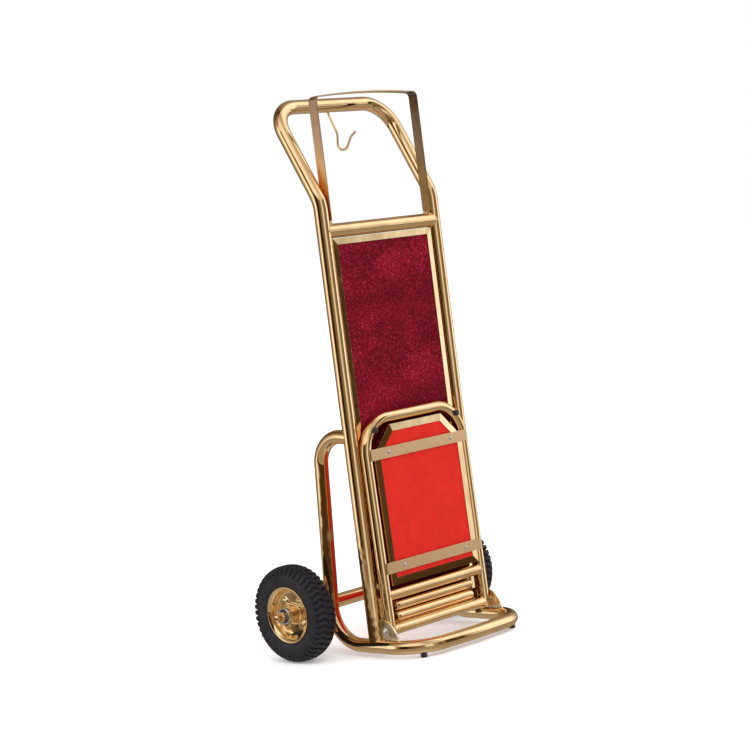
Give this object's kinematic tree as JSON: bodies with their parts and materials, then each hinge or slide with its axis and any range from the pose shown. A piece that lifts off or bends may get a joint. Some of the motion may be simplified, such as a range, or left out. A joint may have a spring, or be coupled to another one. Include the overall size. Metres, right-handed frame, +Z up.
{
  "type": "folding luggage cart",
  "caption": "Folding luggage cart with a tall leaning tube frame, bent handle, garment bar, carpeted back panel, fold-down platform and rubber-tyred wheels.",
  "frame": {"origin": "on the floor, half way along and across the cart", "axes": "+Z up, +Y towards the wheels at the back, +X to the right as seen from the platform side"},
  "size_m": [0.662, 0.4216, 1.2579],
  "materials": {
    "gold_tube": "mirror-polished stainless steel with a titanium-gold coating",
    "gold_flat": "satin gold-coated flat bar",
    "gold_rim": "polished gold-coated pressed steel",
    "steel": "bright plated steel",
    "tyre": "dull black rubber with a lugged tread",
    "black_rubber": "moulded black rubber",
    "carpet": "short dense burgundy cut pile",
    "red_board": "fibreboard with a bright red facing"
  },
  "bodies": {
    "frame": {"upright_left": "gold_tube", "upright_right": "gold_tube", "handle_hoop": "gold_tube", "crossbar_top": "gold_tube", "rub_rail_upper": "gold_tube", "rub_rail_lower": "gold_tube", "garment_hanger": "gold_flat", "hanger_boss_left": "gold_tube", "hanger_boss_right": "gold_tube", "garment_hook": "gold_tube", "leg_left": "gold_tube", "leg_right": "gold_tube", "base_bow": "gold_tube", "foot_left": "black_rubber", "foot_right": "black_rubber", "panel_board": "red_board", "panel_trim": "gold_flat", "panel_carpet": "carpet", "panel_strap_lower": "gold_flat", "panel_strap_upper": "gold_flat", "ear_plate_left": "gold_flat", "ear_plate_right": "gold_flat", "pivot_bolt_left": "steel", "pivot_bolt_right": "steel", "pivot_washer_left": "steel", "pivot_washer_right": "steel", "axle_tube": "gold_tube", "axle_shaft": "gold_tube", "axle_nut_left": "gold_tube", "axle_nut_right": "gold_tube", "split_pin_left": "steel", "split_pin_right": "steel"},
    "platform": {"platform_hoop": "gold_tube", "platform_crossbar": "gold_tube", "hinge_tube": "gold_tube", "platform_board": "red_board", "platform_trim": "gold_flat", "platform_carpet": "carpet", "platform_strap_inner": "gold_flat", "platform_strap_outer": "gold_flat", "strap_screw_inner_left": "steel", "strap_screw_inner_right": "steel", "strap_screw_outer_left": "steel", "strap_screw_outer_right": "steel", "bumper_left": "black_rubber", "bumper_right": "black_rubber"},
    "wheel_left": {"tyre_left": "tyre", "rim_outer_left": "gold_rim", "rim_inner_left": "gold_rim", "hub_left": "gold_rim", "bearing_outer_left": "steel", "bearing_inner_left": "steel"},
    "wheel_right": {"tyre_right": "tyre", "rim_outer_right": "gold_rim", "rim_inner_right": "gold_rim", "hub_right": "gold_rim", "bearing_outer_right": "steel", "bearing_inner_right": "steel"}
  },
  "joints": [
    {"name": "platform_fold", "type": "hinge", "parent": "frame", "child": "platform", "pos_m": [0, -0.08742, 0.05712], "axis": [1, 0, 0], "range_deg": [0, 94]},
    {"name": "wheel_left_spin", "type": "hinge", "parent": "frame", "child": "wheel_left", "pos_m": [-0.2705, 0.09995, 0.111], "axis": [1, 0, 0], "continuous": true},
    {"name": "wheel_right_spin", "type": "hinge", "parent": "frame", "child": "wheel_right", "pos_m": [0.2705, 0.09995, 0.111], "axis": [1, 0, 0], "continuous": true}
  ]
}
